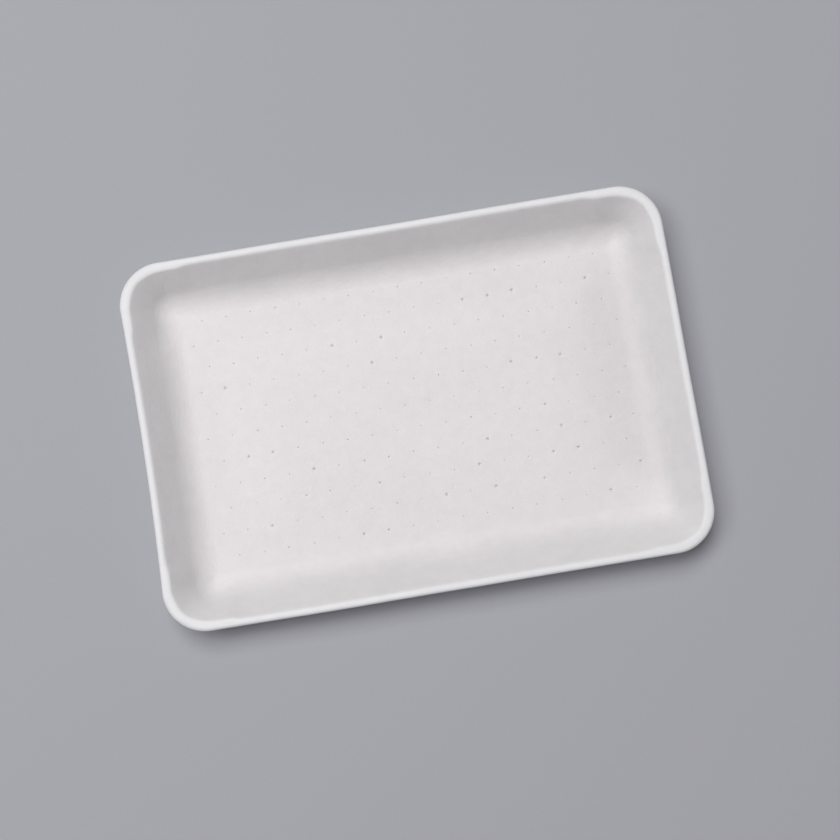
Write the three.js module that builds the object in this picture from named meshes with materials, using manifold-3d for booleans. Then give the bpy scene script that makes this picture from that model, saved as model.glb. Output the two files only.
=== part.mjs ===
// A thermoformed foam tray: one pressed sheet of white closed-cell foam with a
// shallow rounded-rectangle well, sloping walls, a rounded lip trimmed to a
// vertical edge, a slightly crowned floor that stands on a flat foot ring, and a
// staggered grid of fine blind pin pricks over the floor.
//
// Millimetres, +Z up, +X along the length. The origin is the middle of the
// underside, on the plane that the foot ring stands on.

import * as THREE from "three";
import { mergeVertices } from "three/addons/utils/BufferGeometryUtils.js";
import Module from "manifold-3d";

// ---- driving dimensions -------------------------------------------------

const LENGTH = 210; // outside of the lip, along X
const WIDTH = 141.7; // outside of the lip, along Y
const HEIGHT = 18; // foot ring to the top of the lip

const TRIM_RADIUS = 16.5; // corner of the trimmed outer edge
const WELL_RADIUS = 18.6; // corner radius of the well, less the distance in from the edge
const WELL_RADIUS_MIN = 1.8; // corner of the well where wall and floor meet

const LIP_EDGE_ROUND = 1.25; // rounding from the top of the lip to the trimmed edge
const LIP_LAND = 0.45; // nearly flat top of the lip
const LIP_ROLL = 2.0; // rounding from the top of the lip into the well
const LIP_WIDER = 0.8; // the lip is this much wider beside the corners
const LIP_UNDER_Z = -2.55; // underside of the lip, below its top
const LIP_UNDER_ROUND = 0.45; // small break at the bottom of the trimmed edge

const WALL_SLOPE = 51; // degrees above level
const FLOOR_BLEND = 13.8; // radius between wall and floor, inside the well

const WALL_THICK = 2.7; // sheet in the wall
const FLOOR_THICK = 3.5; // sheet in the floor

const FOOT_RING = 5.5; // flat ring that the tray stands on
const CROWN = 0.9; // rise of the floor inside the ring
const CROWN_RUN = 27; // distance over which it rises

const SIDE_BOW = 0.85; // the left short side is bowed inward by this much

const PIT_PITCH_X = 9.7; // staggered grid of pin pricks
const PIT_PITCH_Y = 9.28;
const PIT_ORIGIN_X = -3.46; // one prick of an unshifted row
const PIT_ORIGIN_Y = 2.45;
const PIT_TURN = 0.46; // degrees, the rows against the long sides
const PIT_RADIUS = 0.45; // at the surface
const PIT_DEPTH = 1.6;
const PIT_SIDES = 7;
const PIT_MARGIN = 20.5; // no prick is nearer the trimmed edge than this

const CORNER_STEPS = 9; // points round each corner
const LONG_STEPS = [0.022, 0.045, 0.07, 0.2, 0.4, 0.6, 0.8, 0.93, 0.955, 0.978]; // points along each long side
const SHORT_STEPS = [0.04, 0.08, 0.125, 0.3, 0.5, 0.7, 0.875, 0.92, 0.96];

// ---- the section, from the trimmed edge inward --------------------------
// d is the distance in from the trimmed edge, z the height above the top of the lip.

const rad = (deg) => (deg * Math.PI) / 180;
const lerp = (a, b, t) => a + (b - a) * t;
const smooth = (t) => {
  const s = Math.min(1, Math.max(0, t));
  return s * s * (3 - 2 * s);
};

const alpha = rad(WALL_SLOPE);
const DEPTH = HEIGHT - FLOOR_THICK; // top of the lip to the floor beside the wall

// inner surface: lip top, roll into the well, straight wall, blend, floor edge
const inner = []; // {d, z, slope}
{
  const d0 = LIP_EDGE_ROUND + LIP_LAND;
  for (let i = 0; i <= 6; i++) {
    const a = (alpha * i) / 6;
    inner.push({ d: d0 + LIP_ROLL * Math.sin(a), z: -LIP_ROLL * (1 - Math.cos(a)), slope: a });
  }
  const top = inner[inner.length - 1];
  const blendDrop = FLOOR_BLEND * (1 - Math.cos(alpha));
  const drop = DEPTH + top.z - blendDrop;
  const wallEnd = { d: top.d + drop / Math.tan(alpha), z: top.z - drop, slope: alpha };
  inner.push({ d: lerp(top.d, wallEnd.d, 0.5), z: lerp(top.z, wallEnd.z, 0.5), slope: alpha });
  inner.push(wallEnd);
  for (let i = 1; i <= 8; i++) {
    const a = alpha * (1 - i / 8);
    inner.push({
      d: wallEnd.d + FLOOR_BLEND * (Math.sin(alpha) - Math.sin(a)),
      z: wallEnd.z - FLOOR_BLEND * (Math.cos(a) - Math.cos(alpha)),
      slope: a,
    });
  }
}
const blendEnd = inner[inner.length - 1]; // where the floor starts, slope 0
const FLOOR_D = blendEnd.d;

// corner radius of the contour that lies d in from the edge
const cornerRadius = (d) => {
  if (d < WELL_RADIUS - TRIM_RADIUS) return TRIM_RADIUS;
  // eases into the smallest radius instead of stopping at it
  const over = WELL_RADIUS - d - WELL_RADIUS_MIN;
  return WELL_RADIUS_MIN + 0.5 * (over + Math.sqrt(over * over + 1.5));
};

// how far the section's points follow where the lip is wider: its inner side and the top of the wall
const widerShare = (d) => smooth((d - 1.25) / 1.5) * (1 - smooth((d - 6) / 8));

// where along a side the lip is wider, s from the side's end: beside the corners, up to a small jog
const widerAlong = (s) => smooth((s - 5) / 9) * (1 - smooth((s - 23) / 6));

// rise of the crowned floor above the ring that it stands on
const crown = (x, y) =>
  CROWN *
  smooth((LENGTH / 2 - FLOOR_D - FOOT_RING - Math.abs(x)) / CROWN_RUN) *
  smooth((WIDTH / 2 - FLOOR_D - FOOT_RING - Math.abs(y)) / CROWN_RUN);

// rings, in order: floor, blend, wall, lip, trimmed edge, under the lip, outer wall, underside
const rings = [];
const floorRings = [62, 54, 47, 41, 35.5, 30.5].filter((d) => d > FLOOR_D + FOOT_RING - 1);
// the crown alone shapes the floor, so its rings are free to round off and keep their points apart
const floorRadius = (d) => cornerRadius(FLOOR_D) + 0.4 * (d - FLOOR_D);
for (const d of floorRings)
  rings.push({ d, z: blendEnd.z, r: floorRadius(d), crowned: true });
rings.push({ d: FLOOR_D + FOOT_RING, z: blendEnd.z, r: floorRadius(FLOOR_D + FOOT_RING) });
for (let i = inner.length - 1; i >= 0; i--)
  rings.push({ d: inner[i].d, z: inner[i].z, r: cornerRadius(inner[i].d), wider: widerShare(inner[i].d) });
for (let i = 0; i <= 5; i++) {
  const a = (Math.PI / 2) * (i / 5);
  const d = LIP_EDGE_ROUND * (1 - Math.sin(a));
  rings.push({ d, z: -LIP_EDGE_ROUND * (1 - Math.cos(a)), r: cornerRadius(d) });
}
for (let i = 0; i <= 2; i++) {
  const a = (Math.PI / 2) * (i / 2);
  const d = LIP_UNDER_ROUND * (1 - Math.cos(a));
  rings.push({
    d,
    z: LIP_UNDER_Z + LIP_UNDER_ROUND * (1 - Math.sin(a)),
    r: cornerRadius(d),
  });
}
// outer surface: the inner one moved out by the sheet's thickness, so the corners keep it too
const outer = [];
for (const p of inner) {
  if (p.slope < alpha - 1e-9 && p.d < FLOOR_D / 3) continue; // under the lip
  const t = lerp(WALL_THICK, FLOOR_THICK, smooth((p.d - 6) / (FLOOR_D - 6)));
  outer.push({
    d: p.d - t * Math.sin(p.slope),
    z: p.z - t * Math.cos(p.slope),
    r: cornerRadius(p.d) + t * Math.sin(p.slope),
    wider: widerShare(p.d),
  });
}
{
  // a small fillet where the underside of the lip meets the outer wall
  const a = outer[0];
  const b = outer[1];
  const t = (LIP_UNDER_Z - 0.55 - a.z) / (b.z - a.z);
  const meet = { d: lerp(a.d, b.d, t), z: LIP_UNDER_Z - 0.55, r: lerp(a.r, b.r, t), wider: a.wider };
  const under = { d: meet.d - 0.95, z: LIP_UNDER_Z };
  rings.push({ ...under, r: cornerRadius(under.d) + 0.5, wider: 0.9 * a.wider });
  rings.push({
    d: meet.d - 0.38,
    z: LIP_UNDER_Z - 0.14,
    r: lerp(cornerRadius(under.d), meet.r, 0.6) + 0.2,
    wider: a.wider,
  });
  rings.push(meet);
  for (let i = 1; i < outer.length; i++) rings.push(outer[i]);
}
const footZ = -HEIGHT;
rings[rings.length - 1].z = footZ;
rings.push({ d: FLOOR_D + FOOT_RING, z: footZ, r: floorRadius(FLOOR_D + FOOT_RING) });
for (const d of [...floorRings].reverse())
  rings.push({ d, z: footZ, r: floorRadius(d), crowned: true });

// ---- rings to a closed surface ------------------------------------------

// points of a rounded rectangle, d in from the trimmed edge, anticlockwise from above
const contour = (d, r, wider = 0) => {
  const hx = LENGTH / 2 - d;
  const hy = WIDTH / 2 - d;
  const rr = Math.min(r, hx - 0.5, hy - 0.5);
  const out = [];
  const add = (x, y, nx, ny) => {
    const dx = LIP_WIDER * wider * Math.abs(nx) * widerAlong(WIDTH / 2 - Math.abs(y));
    const dy = LIP_WIDER * wider * Math.abs(ny) * widerAlong(LENGTH / 2 - Math.abs(x));
    out.push([x - Math.sign(x) * dx, y - Math.sign(y) * dy]);
  };
  const corners = [
    [hx - rr, hy - rr, 0],
    [-(hx - rr), hy - rr, 90],
    [-(hx - rr), -(hy - rr), 180],
    [hx - rr, -(hy - rr), 270],
  ];
  corners.forEach(([cx, cy, a0], k) => {
    for (let i = 0; i < CORNER_STEPS; i++) {
      const a = rad(a0 + (90 * i) / (CORNER_STEPS - 1));
      add(cx + rr * Math.cos(a), cy + rr * Math.sin(a), Math.cos(a), Math.sin(a));
    }
    const long = k % 2 === 0;
    const [nx, ny, na] = corners[(k + 1) % 4];
    const from = [cx + rr * Math.cos(rad(na)), cy + rr * Math.sin(rad(na))];
    const to = [nx + rr * Math.cos(rad(na)), ny + rr * Math.sin(rad(na))];
    for (const t of long ? LONG_STEPS : SHORT_STEPS)
      add(lerp(from[0], to[0], t), lerp(from[1], to[1], t), long ? 0 : 1, long ? 1 : 0);
  });
  return out;
};

// the left side's inward bow, as the sheet relaxed after forming
const BOW_HALF = WIDTH / 2 - TRIM_RADIUS;
const bow = (x, y) => {
  const along = Math.max(0, 1 - (y / BOW_HALF) ** 2);
  return x + SIDE_BOW * along * smooth((-x - 62) / (LENGTH / 2 - 62));
};

const closedShell = () => {
  const position = [];
  const index = [];
  const count = contour(0, TRIM_RADIUS).length;
  for (const ring of rings)
    for (const [x, y] of contour(ring.d, ring.r, ring.wider))
      position.push(bow(x, y), y, ring.z + HEIGHT + (ring.crowned ? crown(x, y) : 0));
  for (let k = 0; k + 1 < rings.length; k++)
    for (let i = 0; i < count; i++) {
      const a = k * count + i;
      const b = k * count + ((i + 1) % count);
      const c = a + count;
      const e = b + count;
      index.push(a, c, b, b, c, e);
    }
  // caps: the flat middle of the floor above and below
  const cap = (first, up) => {
    const flat = [];
    for (let i = 0; i < count; i++)
      flat.push(new THREE.Vector2(position[3 * (first + i)], position[3 * (first + i) + 1]));
    for (const [a, b, c] of THREE.ShapeUtils.triangulateShape(flat, []))
      if (up) index.push(first + a, first + b, first + c);
      else index.push(first + a, first + c, first + b);
  };
  cap(0, true);
  cap((rings.length - 1) * count, false);
  const g = new THREE.BufferGeometry();
  g.setAttribute("position", new THREE.Float32BufferAttribute(position, 3));
  g.setIndex(index);
  return g;
};

// ---- pin pricks ----------------------------------------------------------

const wasm = await Module();
wasm.setup();

const toSolid = (geometry) => {
  const g = geometry.clone();
  g.deleteAttribute("normal");
  g.deleteAttribute("uv");
  const merged = mergeVertices(g, 1e-4);
  return new wasm.Manifold(
    new wasm.Mesh({
      numProp: 3,
      vertProperties: merged.attributes.position.array,
      triVerts: new Uint32Array(merged.index.array),
    }),
  );
};

const toGeometry = (solid) => {
  const mesh = solid.getMesh();
  const position = [];
  for (let i = 0; i < mesh.vertProperties.length; i += mesh.numProp)
    position.push(
      mesh.vertProperties[i],
      mesh.vertProperties[i + 1],
      mesh.vertProperties[i + 2],
    );
  const g = new THREE.BufferGeometry();
  g.setAttribute("position", new THREE.Float32BufferAttribute(position, 3));
  g.setIndex(Array.from(mesh.triVerts));
  g.computeVertexNormals();
  return g;
};

const pitCentres = () => {
  const out = [];
  const hx = LENGTH / 2 - PIT_MARGIN;
  const hy = WIDTH / 2 - PIT_MARGIN;
  for (let j = -8; j <= 8; j++)
    for (let i = -12; i <= 12; i++) {
      const across = PIT_PITCH_X * (i + (j % 2 === 0 ? 0 : 0.5));
      const up = PIT_PITCH_Y * j;
      const x = PIT_ORIGIN_X + across * Math.cos(rad(PIT_TURN)) - up * Math.sin(rad(PIT_TURN));
      const y = PIT_ORIGIN_Y + across * Math.sin(rad(PIT_TURN)) + up * Math.cos(rad(PIT_TURN));
      if (Math.abs(x) < hx && Math.abs(y) < hy) out.push([x, y]);
    }
  return out;
};

// height of the well's surface at a point of the floor
const floorTop = (x, y) => HEIGHT + blendEnd.z + crown(x, y);

let tray = toSolid(closedShell());
{
  const above = 0.6;
  const length = PIT_DEPTH + above;
  const mouth = (PIT_RADIUS * length) / PIT_DEPTH;
  const prick = new THREE.ConeGeometry(mouth, length, PIT_SIDES).rotateX(-Math.PI / 2);
  for (const [x, y] of pitCentres()) {
    // ConeGeometry is centred, and points down once it is turned
    const placed = prick.clone().translate(x, y, floorTop(x, y) + above - length / 2);
    tray = tray.subtract(toSolid(placed));
  }
}

// ---- the scene -----------------------------------------------------------

const foam = new THREE.MeshStandardMaterial({
  name: "white_foam",
  color: new THREE.Color(0.89, 0.885, 0.88),
  roughness: 0.55,
  metalness: 0,
});

const group = new THREE.Group();
const mesh = new THREE.Mesh(toGeometry(tray), foam);
mesh.name = "foam_tray";
group.add(mesh);

export default group;
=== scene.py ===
import math
import random

import bmesh
import bpy
import numpy as np
from mathutils import Matrix, Vector, noise
from mathutils.geometry import delaunay_2d_cdt


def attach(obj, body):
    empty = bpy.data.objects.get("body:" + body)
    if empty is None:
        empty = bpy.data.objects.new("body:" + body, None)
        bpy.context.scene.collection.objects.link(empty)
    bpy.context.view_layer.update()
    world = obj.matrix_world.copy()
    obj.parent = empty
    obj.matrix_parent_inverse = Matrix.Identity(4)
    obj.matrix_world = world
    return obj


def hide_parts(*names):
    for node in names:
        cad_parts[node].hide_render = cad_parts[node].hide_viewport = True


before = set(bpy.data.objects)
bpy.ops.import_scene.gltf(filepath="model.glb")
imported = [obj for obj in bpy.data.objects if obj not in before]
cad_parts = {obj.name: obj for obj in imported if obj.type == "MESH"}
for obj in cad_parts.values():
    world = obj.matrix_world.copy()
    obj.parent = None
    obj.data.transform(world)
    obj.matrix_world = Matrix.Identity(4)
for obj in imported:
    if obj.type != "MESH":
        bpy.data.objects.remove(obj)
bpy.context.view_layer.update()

MM = 0.001

# ---- camera: the photograph's viewing angle -------------------------------
# Almost straight down on the well, 5 degrees off, with the tray turned 9.5 degrees.

RIGHT = Vector((0.98642882, -0.16364807, -0.01332295))
UP = Vector((0.16418532, 0.98257166, 0.08715574))
BACK = Vector((-0.00117211, -0.08816037, 0.9961056))
cam_data = bpy.data.cameras.new("photo_camera")
cam_data.sensor_width = 36.0
cam_data.lens = 61.722
cam_data.clip_start = 0.01
cam_data.clip_end = 20.0
cam = bpy.data.objects.new("photo_camera", cam_data)
bpy.context.scene.collection.objects.link(cam)
turn = Matrix((RIGHT, UP, BACK)).transposed()
cam.matrix_world = Matrix.Translation((0.000526, -0.053506, 0.559869)) @ turn.to_4x4()
bpy.context.scene.camera = cam

# ---- the section, as in the CAD source (millimetres) ----------------------

LENGTH, WIDTH, HEIGHT = 210.0, 141.7, 18.0
TRIM_RADIUS = 16.5
WELL_RADIUS = 18.6
WELL_RADIUS_MIN = 1.8
LIP_EDGE_ROUND = 1.25
LIP_LAND = 0.45
LIP_ROLL = 2.0
LIP_WIDER = 0.8
LIP_UNDER_Z = -2.55
LIP_UNDER_ROUND = 0.45
ALPHA = math.radians(51.0)
FLOOR_BLEND = 13.8
WALL_THICK = 2.7
FLOOR_THICK = 3.5
DEPTH = HEIGHT - FLOOR_THICK
FOOT_RING = 5.5
CROWN = 0.9
CROWN_RUN = 27.0
SIDE_BOW = 0.85


def smooth(t):
    t = np.clip(t, 0.0, 1.0)
    return t * t * (3.0 - 2.0 * t)


def lerp(a, b, t):
    return a + (b - a) * t


def corner_radius(d):
    if d < WELL_RADIUS - TRIM_RADIUS:
        return TRIM_RADIUS
    over = WELL_RADIUS - d - WELL_RADIUS_MIN
    return WELL_RADIUS_MIN + 0.5 * (over + math.sqrt(over * over + 1.5))


N_ROLL, N_WALL, N_BLEND = 10, 6, 18


def inner_profile():
    """Lip top to floor edge, as (distance in from the edge, height above the lip, slope)."""
    out = []
    d0 = LIP_EDGE_ROUND + LIP_LAND
    for i in range(N_ROLL + 1):
        a = ALPHA * i / N_ROLL
        out.append((d0 + LIP_ROLL * math.sin(a), -LIP_ROLL * (1 - math.cos(a)), a))
    top_d, top_z, _ = out[-1]
    drop = DEPTH + top_z - FLOOR_BLEND * (1 - math.cos(ALPHA))
    end_d, end_z = top_d + drop / math.tan(ALPHA), top_z - drop
    for i in range(1, N_WALL + 1):
        out.append((lerp(top_d, end_d, i / N_WALL), lerp(top_z, end_z, i / N_WALL), ALPHA))
    for i in range(1, N_BLEND + 1):
        a = ALPHA * (1 - i / N_BLEND)
        out.append(
            (
                end_d + FLOOR_BLEND * (math.sin(ALPHA) - math.sin(a)),
                end_z - FLOOR_BLEND * (math.cos(a) - math.cos(ALPHA)),
                a,
            )
        )
    return out


PROFILE = inner_profile()
FLOOR_D = PROFILE[-1][0]
FLOOR_Z = PROFILE[-1][1]


def wider_share(d):
    """How far the section's points follow where the lip is wider: the lip's inner side and the top of the wall."""
    return float(smooth((d - 1.25) / 1.5)) * (1.0 - float(smooth((d - 6.0) / 8.0)))


def wider_along(s):
    """Where along a side the lip is wider, s from the side's end: beside the corners, up to a small jog."""
    return float(smooth((s - 5.0) / 9.0)) * (1.0 - float(smooth((s - 23.0) / 6.0)))

# ---- how the real sheet strays from its section ---------------------------


def wander(x, y, scale, seed):
    """Slow random wandering in -1..1, the same each run."""
    return noise.noise(Vector((x / scale, y / scale, seed * 7.31)))


def bow(x, y):
    half = WIDTH / 2 - TRIM_RADIUS
    along = max(0.0, 1 - (y / half) ** 2)
    return x + SIDE_BOW * along * float(smooth((-x - 62) / (LENGTH / 2 - 62)))


def crown(x, y):
    cx = LENGTH / 2 - FLOOR_D - FOOT_RING
    cy = WIDTH / 2 - FLOOR_D - FOOT_RING
    inside = float(smooth((cx - abs(x)) / CROWN_RUN)) * float(smooth((cy - abs(y)) / CROWN_RUN))
    return CROWN * inside


def floor_dip(x, y):
    """The floor has sunk a little between its middle and its right end."""
    u = (x - 62.0) / 17.0
    v = (y - 2.0) / 34.0
    edge = float(smooth((LENGTH / 2 - FLOOR_D - 1.5 - abs(x)) / 10.0)) * float(smooth((WIDTH / 2 - FLOOR_D - 1.5 - abs(y)) / 10.0))
    return -0.22 * math.exp(-u * u - v * v) * edge


def sheet_height(x, y):
    """Waves in the floor, the same above and below, and none where it stands."""
    cx = LENGTH / 2 - FLOOR_D - FOOT_RING
    cy = WIDTH / 2 - FLOOR_D - FOOT_RING
    inside = float(smooth((cx - abs(x)) / 14.0)) * float(smooth((cy - abs(y)) / 14.0))
    return inside * (0.10 * wander(x, y, 38.0, 1) + 0.05 * wander(x, y, 17.0, 2))


def stray(x, y, z):
    """Waves of the lip and wall, growing with the height above the foot."""
    up = (max(z, 0.0) / HEIGHT) ** 2
    side = max(abs(x) - 80.0, abs(y) - 46.0, 0.0) / 24.0
    k = up * min(side, 1.0)
    dx = 0.22 * k * wander(x, y, 46.0, 3)
    dy = 0.22 * k * wander(x, y, 46.0, 4)
    dz = 0.16 * k * wander(x, y, 55.0, 5)
    return x + dx, y + dy, z + dz


# ---- rings ----------------------------------------------------------------

N_CORNER, N_LONG, N_SHORT = 21, 84, 56


def contour_points():
    """Points of a rounded rectangle, each as (corner's sign x, sign y, angle or None, share along the side, distance
    from where the corner starts), anticlockwise from the right side's top corner."""
    signs = [(1, 1), (-1, 1), (-1, -1), (1, -1)]
    out = []
    for k in range(4):
        for i in range(N_CORNER):
            out.append((k, math.radians(90.0 * k + 90.0 * i / (N_CORNER - 1)), None))
        steps = N_LONG if k % 2 == 0 else N_SHORT
        for i in range(1, steps):
            out.append((k, None, i / steps))
    return signs, out


SIGNS, POINTS = contour_points()


def place(index, d, r):
    """Where a point of the contour is, on the rounded rectangle d in from the trimmed edge with corner radius r."""
    hx, hy = LENGTH / 2 - d, WIDTH / 2 - d
    k, angle, share = POINTS[index]
    sx, sy = SIGNS[k]
    if angle is not None:
        return sx * (hx - r) + r * math.cos(angle), sy * (hy - r) + r * math.sin(angle)
    a = math.radians(90.0 * (k + 1))
    nx, ny = SIGNS[(k + 1) % 4]
    fx, fy = sx * (hx - r) + r * math.cos(a), sy * (hy - r) + r * math.sin(a)
    tx, ty = nx * (hx - r) + r * math.cos(a), ny * (hy - r) + r * math.sin(a)
    return lerp(fx, tx, share), lerp(fy, ty, share)


def widen(index, x, y, share):
    k, angle, _ = POINTS[index]
    if angle is not None:
        nx, ny = abs(math.cos(angle)), abs(math.sin(angle))
    else:
        nx, ny = (0.0, 1.0) if k % 2 == 0 else (1.0, 0.0)
    dx = LIP_WIDER * share * nx * wider_along(WIDTH / 2 - abs(y))
    dy = LIP_WIDER * share * ny * wider_along(LENGTH / 2 - abs(x))
    return x - math.copysign(dx, x), y - math.copysign(dy, y)


def ring_list():
    """Rings from the floor's edge up the wall, over the lip and down to the foot, as (distance in from the edge, height
    above the lip, corner radius, cut edge, wider share, lip)."""
    rings = [
        (d, z, corner_radius(d), 0.0, wider_share(d), float(smooth((3.8 - d) / 2.2))) for d, z, _ in reversed(PROFILE)
    ]
    # rounding of the lip down to the trimmed edge
    n = 8
    for i in range(n + 1):
        a = math.pi / 2 * i / n
        d = LIP_EDGE_ROUND * (1 - math.sin(a))
        cut = float(smooth((i - n + 3) / 2.0))
        rings.append((d, -LIP_EDGE_ROUND * (1 - math.cos(a)), corner_radius(d), cut, 0.0, 1.0))
    z0, z1 = -LIP_EDGE_ROUND, LIP_UNDER_Z + LIP_UNDER_ROUND
    for i in range(1, 4):
        rings.append((0.0, lerp(z0, z1, i / 4), TRIM_RADIUS, 1.0, 0.0, 1.0))
    for i in range(5):
        a = math.pi / 2 * i / 4
        d = LIP_UNDER_ROUND * (1 - math.cos(a))
        z = LIP_UNDER_Z + LIP_UNDER_ROUND * (1 - math.sin(a))
        rings.append((d, z, corner_radius(d), 1.0 - 0.25 * i, 0.0, 1.0))
    # the outer wall is the well's wall moved out by the sheet's thickness
    outer = []
    for d, z, slope in PROFILE[N_ROLL:]:
        t = lerp(WALL_THICK, FLOOR_THICK, float(smooth((d - 6) / (FLOOR_D - 6))))
        r = corner_radius(d) + t * math.sin(slope)
        outer.append((d - t * math.sin(slope), z - t * math.cos(slope), r, 0.0, wider_share(d), 0.0))
    a, b = outer[0], outer[1]
    meet_z = LIP_UNDER_Z - 0.75
    t = (meet_z - a[1]) / (b[1] - a[1])
    meet = tuple(lerp(p, q, t) for p, q in zip(a, b))
    start = meet[0] - 1.25
    r0 = corner_radius(start) + 0.5
    first = rings[-1]
    for i in range(1, 3):
        t = i / 3
        rings.append((lerp(first[0], start, t), LIP_UNDER_Z, lerp(first[2], r0, t), 0.0, meet[4] * t, 1.0 - t))
    # the turn from the underside of the lip down into the outer wall
    for i in range(7):
        t = i / 6
        px = (1 - t) ** 2 * start + 2 * t * (1 - t) * (meet[0] - 0.55) + t * t * meet[0]
        pz = (1 - t) ** 2 * LIP_UNDER_Z + 2 * t * (1 - t) * LIP_UNDER_Z + t * t * meet[1]
        rings.append((px, pz, lerp(r0, meet[2], t), 0.0, meet[4], 0.0))
    rings += [p for p in outer[1:] if p[1] < meet_z - 0.05]
    last = rings[-1]
    rings[-1] = (last[0], -HEIGHT, *last[2:])
    return rings


# ---- pin pricks -----------------------------------------------------------

PITCH_X, PITCH_Y, PIT_TURN = 9.7, 9.28, math.radians(0.46)
PIT_X0, PIT_Y0 = -3.46, 2.45
# the pricks that went in deepest, as (column, row) from the prick at PIT_X0, PIT_Y0
DEEP = {
    (-5.5, -1), (4.5, 1), (5.5, -3), (3, -2), (-4, -2), (8, -2), (8, 4), (-6.5, -1), (-2.5, -5), (1, -4),
    (6.5, 1), (2.5, -3), (5, 4), (-0.5, 3), (-7, 2), (9, -4), (-2.5, 3), (3, 4), (5, -4), (6.5, -3),
    (-1, 2), (4, 4), (5.5, 1), (7.5, -5), (-6, -4), (6, -2), (5.5, -1), (3, -4),
}
# and those that only show as a faint dimple
FAINT = {(6.5, 5), (4.5, -1), (-2, -2), (-4.5, -3), (-1.5, -3), (-1.5, -5), (-1, -2), (2.5, -1), (7, 3)}
PIT_MARGIN = 20.5


def pit_list():
    rng = random.Random(20)
    out = []
    for j in range(-8, 9):
        for i in range(-12, 13):
            col = i + (0 if j % 2 == 0 else 0.5)
            across, up = PITCH_X * col, PITCH_Y * j
            x = PIT_X0 + across * math.cos(PIT_TURN) - up * math.sin(PIT_TURN)
            y = PIT_Y0 + across * math.sin(PIT_TURN) + up * math.cos(PIT_TURN)
            size, off, turn = rng.random(), (rng.uniform(-0.25, 0.25), rng.uniform(-0.25, 0.25)), rng.random()
            if min(LENGTH / 2 - abs(x), WIDTH / 2 - abs(y)) > PIT_MARGIN:
                if (col, j) in DEEP:
                    radius, depth = 0.40 + 0.08 * size, 1.25 + 0.25 * size
                elif (col, j) in FAINT:
                    radius, depth = 0.27 + 0.05 * size, 1.0 + 0.2 * size
                else:
                    radius, depth = 0.15 + 0.06 * size, 0.75 + 0.2 * size
                # a prick keeps its whole funnel on the floor
                hx = LENGTH / 2 - FLOOR_D - PIT_PROFILE[0][0] * radius - 0.3
                hy = WIDTH / 2 - FLOOR_D - PIT_PROFILE[0][0] * radius - 0.3
                x = min(max(x + off[0], -hx + SIDE_BOW), hx)
                y = min(max(y + off[1], -hy), hy)
                out.append((x, y, radius, depth, turn))
    return out


PIT_STEPS = 12
# a funnel round the prick, where the pin dragged the skin in, and then the prick itself
PIT_PROFILE = [(2.6, 0.0), (2.0, -0.012), (1.5, -0.045), (1.12, -0.12), (0.82, -0.30), (0.45, -0.72), (0.0, -1.0)]
PITS = pit_list()


def floor_top(x, y):
    return HEIGHT + FLOOR_Z + crown(x, y) + sheet_height(x, y) + floor_dip(x, y)


def floor_under(x, y):
    return crown(x, y) + max(-0.8 * crown(x, y), sheet_height(x, y) + 0.8 * floor_dip(x, y))


def inside_ring(ring, x, y):
    """Whether each point is inside the ring, and its distance from the ring's points."""
    rx, ry = ring[:, 0], ring[:, 1]
    qx, qy = np.roll(rx, -1), np.roll(ry, -1)
    crosses = (ry[None] > y[:, None]) != (qy[None] > y[:, None])
    with np.errstate(divide="ignore", invalid="ignore"):
        at = (qx - rx)[None] * (y[:, None] - ry[None]) / (qy - ry)[None] + rx[None]
    odd = (crosses & (x[:, None] < at)).sum(1) % 2 == 1
    near = np.sqrt(((x[:, None] - rx[None]) ** 2 + (y[:, None] - ry[None]) ** 2).min(1))
    return odd, near


def fill(ring, height, step, pits):
    """Triangles over the inside of a ring of points. Returns the added points and the faces."""
    n = len(ring)
    ring = np.array(ring)
    lo, hi = ring.min(0), ring.max(0)
    gx, gy = [], []
    row, y = 0, lo[1] + step * 0.5
    while y < hi[1]:
        x = lo[0] + step * (0.5 if row % 2 else 1.0)
        while x < hi[0]:
            gx.append(x)
            gy.append(y)
            x += step
        y += step * 0.866
        row += 1
    gx, gy = np.array(gx), np.array(gy)
    odd, near = inside_ring(ring, gx, gy)
    keep = odd & (near > step * 0.7)
    for px, py, r, _, _ in pits:
        keep &= np.hypot(gx - px, gy - py) > r * PIT_PROFILE[0][0] + 0.4
    pts = [Vector(p) for p in ring.tolist()] + [Vector(p) for p in zip(gx[keep].tolist(), gy[keep].tolist())]
    zs = [height(p.x, p.y) for p in pts[n:]]
    for px, py, r, depth, turn in pits:
        base = height(px, py)
        for share, z in PIT_PROFILE:
            if share == 0.0:
                pts.append(Vector((px, py)))
                zs.append(base + z * depth)
                continue
            for k in range(PIT_STEPS):
                a = 2 * math.pi * (k + turn) / PIT_STEPS
                qx, qy = px + r * share * math.cos(a), py + r * share * math.sin(a)
                pts.append(Vector((qx, qy)))
                zs.append(height(qx, qy) + (z * depth if z < 0 else z))
    verts, _, faces, orig, _, _ = delaunay_2d_cdt(pts, [], [list(range(n))], 1, 1e-5)
    where = []
    for o in orig:
        if not o:
            raise RuntimeError("the floor's triangles need a point that isn't there")
        where.append(o[0])
    out = [[where[v] for v in f] for f in faces]
    return [(p.x, p.y, z) for p, z in zip(pts[n:], zs)], out


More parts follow.
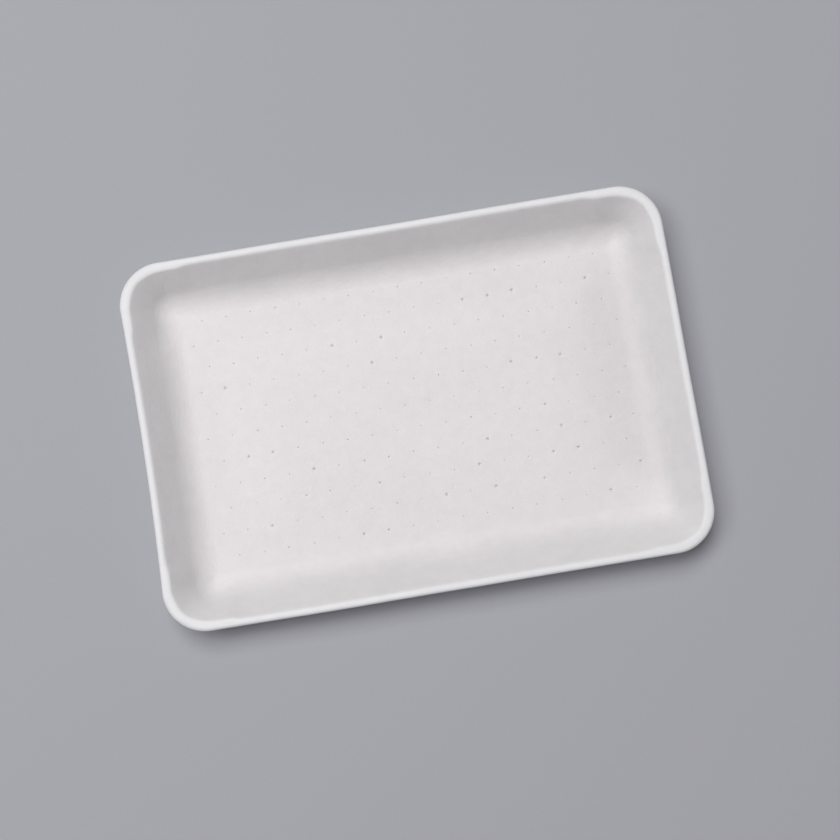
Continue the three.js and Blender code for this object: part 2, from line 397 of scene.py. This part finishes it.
def tray_mesh():
    count = len(POINTS)
    table = ring_list()
    rings = len(table)
    verts, cut, lip = [], [], []
    for d, z, r, c, share, on_lip in table:
        for i in range(count):
            x, y = widen(i, *place(i, d, r), share)
            verts.append(stray(bow(x, y), y, z + HEIGHT))
            cut.append(c)
            lip.append(on_lip)
    faces = []
    for k in range(rings - 1):
        for i in range(count):
            a, b = k * count + i, k * count + (i + 1) % count
            faces.append((a, a + count, b + count, b))
    # floor, with its pin pricks
    ring = [verts[i][:2] for i in range(count)]
    extra, tris = fill(ring, floor_top, 2.3, PITS)
    base = len(verts)
    verts += extra
    cut += [0.0] * len(extra)
    for f in tris:
        faces.append([v if v < count else base + v - count for v in f])
    # underside
    last = (rings - 1) * count
    ring = [verts[last + i][:2] for i in range(count)]
    extra, tris = fill(ring, floor_under, 2.8, [])
    base = len(verts)
    verts += extra
    cut += [0.0] * len(extra)
    for f in tris:
        faces.append([last + v if v < count else base + v - count for v in f][::-1])
    lip += [0.0] * (len(verts) - len(lip))
    return np.array(verts) * MM, faces, cut, lip


verts, faces, cut, lip = tray_mesh()
mesh = bpy.data.meshes.new("tray_sheet")
mesh.from_pydata(verts.tolist(), [], faces)
mesh.validate()
mesh.update()
for name, values in (("cut_edge", cut), ("lip", lip)):
    attribute = mesh.attributes.new(name, "FLOAT", "POINT")
    attribute.data.foreach_set("value", np.array(values, np.float32))
mesh.polygons.foreach_set("use_smooth", np.ones(len(mesh.polygons), bool))
tray = bpy.data.objects.new("tray_sheet", mesh)
bpy.context.scene.collection.objects.link(tray)

bm = bmesh.new()
bm.from_mesh(mesh)
bmesh.ops.recalc_face_normals(bm, faces=bm.faces)
open_edges = sum(1 for e in bm.edges if not e.is_manifold)
print("tray: triangles", sum(len(f.verts) - 2 for f in bm.faces), "open edges", open_edges)
bm.to_mesh(mesh)
bm.free()

# ---- material -------------------------------------------------------------


def foam_material():
    mat = bpy.data.materials.new("white_foam_skin")
    mat.use_nodes = True
    nt = mat.node_tree
    nodes, links = nt.nodes, nt.links
    nodes.clear()
    out = nodes.new("ShaderNodeOutputMaterial")
    shader = nodes.new("ShaderNodeBsdfPrincipled")
    links.new(shader.outputs["BSDF"], out.inputs["Surface"])
    coord = nodes.new("ShaderNodeTexCoord")
    place = coord.outputs["Object"]

    def noise_node(scale, detail, rough=0.5):
        n = nodes.new("ShaderNodeTexNoise")
        n.inputs["Scale"].default_value = scale
        n.inputs["Detail"].default_value = detail
        n.inputs["Roughness"].default_value = rough
        links.new(place, n.inputs["Vector"])
        return n.outputs["Fac"]

    def math_node(op, a, b):
        n = nodes.new("ShaderNodeMath")
        n.operation = op
        for s, v in ((0, a), (1, b)):
            if isinstance(v, (int, float)):
                n.inputs[s].default_value = v
            else:
                links.new(v, n.inputs[s])
        return n.outputs[0]

    def remap(v, a, b, c, d):
        n = nodes.new("ShaderNodeMapRange")
        links.new(v, n.inputs["Value"])
        for key, val in (("From Min", a), ("From Max", b), ("To Min", c), ("To Max", d)):
            n.inputs[key].default_value = val
        return n.outputs["Result"]

    # cells of the foam under the skin, about 0.7 mm across
    cells = nodes.new("ShaderNodeTexVoronoi")
    cells.feature = "DISTANCE_TO_EDGE"
    cells.inputs["Scale"].default_value = 1350.0
    cells.inputs["Randomness"].default_value = 1.0
    links.new(place, cells.inputs["Vector"])
    wall = remap(cells.outputs["Distance"], 0.0, 0.28, 0.0, 1.0)
    pores = nodes.new("ShaderNodeTexVoronoi")
    pores.feature = "F1"
    pores.inputs["Scale"].default_value = 620.0
    links.new(place, pores.inputs["Vector"])
    pore = remap(pores.outputs["Distance"], 0.05, 0.45, 0.0, 1.0)

    blotch = noise_node(34.0, 3.0, 0.55)
    mottle = noise_node(210.0, 4.0, 0.6)
    fine = noise_node(2600.0, 2.0)

    def mix_node(fac, a, b):
        n = nodes.new("ShaderNodeMix")
        n.data_type = "RGBA"
        links.new(fac, n.inputs[0])
        for s, v in ((6, a), (7, b)):
            if isinstance(v, tuple):
                n.inputs[s].default_value = v
            else:
                links.new(v, n.inputs[s])
        return n.outputs[2]

    def step(v, a, b):
        n = nodes.new("ShaderNodeMapRange")
        n.interpolation_type = "SMOOTHSTEP"
        links.new(v, n.inputs["Value"])
        n.inputs["From Min"].default_value = a
        n.inputs["From Max"].default_value = b
        return n.outputs["Result"]

    # colour: the floor is a warm white with faint blotches, the walls a neutral one, and the lip is painted whiter,
    # partly for its pressed skin and partly as a painted highlight for the light its unshaded edge catches
    axes = nodes.new("ShaderNodeSeparateXYZ")
    links.new(place, axes.inputs[0])
    spots = remap(blotch, 0.35, 0.65, 0.0, 1.0)
    ground = mix_node(spots, (0.738, 0.718, 0.732, 1.0), (0.768, 0.748, 0.760, 1.0))
    sides = mix_node(spots, (0.716, 0.711, 0.714, 1.0), (0.742, 0.737, 0.740, 1.0))
    on_lip = nodes.new("ShaderNodeAttribute")
    on_lip.attribute_name = "lip"
    tint = mix_node(step(axes.outputs["Z"], 0.004, 0.008), ground, sides)
    # painted highlight, in part: the lip's lighter colour
    tint = mix_node(on_lip.outputs["Fac"], tint, (0.785, 0.788, 0.800, 1.0))
    shade = math_node("MULTIPLY", remap(mottle, 0.3, 0.7, 0.975, 1.015), remap(wall, 0.0, 1.0, 0.985, 1.0))
    # painted shade: a soft darker band on the floor along the foot of the right wall
    across = math_node("MULTIPLY", step(axes.outputs["X"], 0.060, 0.078), step(axes.outputs["X"], 0.096, 0.082))
    along = step(math_node("ABSOLUTE", math_node("SUBTRACT", axes.outputs["Y"], 0.002), 0.0), 0.052, 0.030)
    right_foot_shade = math_node("MULTIPLY", across, along)
    shade = math_node("MULTIPLY", shade, remap(right_foot_shade, 0.0, 1.0, 1.0, 0.925))
    # painted shade: the floor a little darker all round its edge, near the walls
    near_side = step(math_node("ABSOLUTE", axes.outputs["Y"], 0.0), 0.030, 0.050)
    near_end = step(math_node("ABSOLUTE", axes.outputs["X"], 0.0), 0.068, 0.084)
    edge_shade = math_node("MULTIPLY", math_node("MAXIMUM", near_side, near_end), step(axes.outputs["Z"], 0.009, 0.005))
    shade = math_node("MULTIPLY", shade, remap(edge_shade, 0.0, 1.0, 1.0, 0.966))
    tone = nodes.new("ShaderNodeMix")
    tone.data_type = "RGBA"
    tone.blend_type = "MULTIPLY"
    tone.inputs[0].default_value = 1.0
    links.new(tint, tone.inputs[6])
    grey = nodes.new("ShaderNodeCombineColor")
    for s in range(3):
        links.new(shade, grey.inputs[s])
    links.new(grey.outputs[0], tone.inputs[7])
    links.new(tone.outputs[2], shader.inputs["Base Color"])

    # skin gloss: satin, patchy, duller on the cut edge
    cut_mask = nodes.new("ShaderNodeAttribute")
    cut_mask.attribute_name = "cut_edge"
    edge = cut_mask.outputs["Fac"]
    rough = math_node("ADD", remap(blotch, 0.3, 0.7, 0.46, 0.58), math_node("MULTIPLY", edge, 0.3))
    links.new(rough, shader.inputs["Roughness"])

    # relief: slow waves, cells, pores, and open cells on the cut edge
    def bump(height, distance, strength, normal=None):
        n = nodes.new("ShaderNodeBump")
        n.inputs["Distance"].default_value = distance
        n.inputs["Strength"].default_value = strength
        links.new(height, n.inputs["Height"])
        if normal is not None:
            links.new(normal, n.inputs["Normal"])
        return n.outputs["Normal"]

    normal = bump(mottle, 0.00022, 0.6)
    normal = bump(wall, 0.00003, 0.6, normal)
    normal = bump(pore, 0.00005, 0.5, normal)
    normal = bump(fine, 0.00002, 0.5, normal)
    open_cells = math_node("MULTIPLY", wall, edge)
    normal = bump(open_cells, 0.00022, 1.0, normal)
    links.new(normal, shader.inputs["Normal"])

    shader.inputs["Metallic"].default_value = 0.0
    shader.inputs["IOR"].default_value = 1.45
    shader.inputs["Specular IOR Level"].default_value = 0.42
    shader.inputs["Subsurface Weight"].default_value = 0.25
    shader.inputs["Subsurface Radius"].default_value = (1.0, 0.95, 0.9)
    shader.inputs["Subsurface Scale"].default_value = 0.0022
    return mat


tray.data.materials.append(foam_material())
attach(tray, "root")
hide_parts("foam_tray")

# ---- stage: plain pale floor and soft studio light ------------------------


def stage_floor():
    # a round table of paper that sweeps up into a backdrop on all sides
    me = bpy.data.meshes.new("stage_floor")
    flat, rise, top, steps = 1.9, 0.9, 3.2, 96
    line = [(0.6, 0.0), (flat, 0.0)]
    line += [(flat + rise * math.sin(a), rise * (1 - math.cos(a))) for a in (math.pi / 2 * i / 16 for i in range(1, 17))]
    line.append((flat + rise, top))
    points = [(0.0, 0.0, -0.0001)]
    for r, z in line:
        for i in range(steps):
            a = 2 * math.pi * i / steps
            points.append((r * math.cos(a), r * math.sin(a), z - 0.0001))
    quads = [(0, 1 + i, 1 + (i + 1) % steps) for i in range(steps)]
    for k in range(len(line) - 1):
        for i in range(steps):
            a, b = 1 + k * steps + i, 1 + k * steps + (i + 1) % steps
            quads.append((a, a + steps, b + steps, b))
    me.from_pydata(points, [], quads)
    me.polygons.foreach_set("use_smooth", np.ones(len(me.polygons), bool))
    ob = bpy.data.objects.new("stage_floor", me)
    bpy.context.scene.collection.objects.link(ob)
    mat = bpy.data.materials.new("stage_paper")
    mat.use_nodes = True
    nt = mat.node_tree
    shader = nt.nodes["Principled BSDF"]
    coord = nt.nodes.new("ShaderNodeTexCoord")
    grain = nt.nodes.new("ShaderNodeTexNoise")
    grain.inputs["Scale"].default_value = 900.0
    grain.inputs["Detail"].default_value = 2.0
    nt.links.new(coord.outputs["Object"], grain.inputs["Vector"])
    ramp = nt.nodes.new("ShaderNodeMix")
    ramp.data_type = "RGBA"
    ramp.inputs[6].default_value = (0.385, 0.390, 0.425, 1.0)
    ramp.inputs[7].default_value = (0.405, 0.410, 0.445, 1.0)
    nt.links.new(grain.outputs["Fac"], ramp.inputs[0])
    nt.links.new(ramp.outputs[2], shader.inputs["Base Color"])
    shader.inputs["Roughness"].default_value = 0.85
    shader.inputs["Specular IOR Level"].default_value = 0.2
    me.materials.append(mat)


stage_floor()


def area_light(name, direction, distance, size, power, colour=(1.0, 1.0, 1.0)):
    data = bpy.data.lights.new(name, "AREA")
    data.shape = "DISK"
    data.size = size
    data.energy = power
    data.color = colour
    ob = bpy.data.objects.new(name, data)
    bpy.context.scene.collection.objects.link(ob)
    d = Vector(direction).normalized()
    ob.location = d * distance
    ob.rotation_mode = "QUATERNION"
    ob.rotation_quaternion = d.to_track_quat("Z", "Y")
    return ob


# above the tray's top left, as the wall shading shows
area_light("left", (-0.37, 0.08, 0.926), 1.35, 0.65, 7.1, (1.0, 0.985, 0.985))
area_light("back", (-0.05, 0.36, 0.93), 2.6, 1.2, 29.5, (1.0, 0.985, 0.985))
area_light("top", (0.0, 0.001, 1.0), 2.2, 1.0, 8.2, (1.0, 0.985, 0.985))
world = bpy.data.worlds.new("studio")
bpy.context.scene.world = world
world.use_nodes = True
sky = world.node_tree.nodes["Background"]
sky.inputs["Color"].default_value = (0.95, 0.975, 1.0, 1.0)
sky.inputs["Strength"].default_value = 0.03

bpy.context.scene.view_settings.view_transform = "Standard"
bpy.context.scene.view_settings.look = "None"
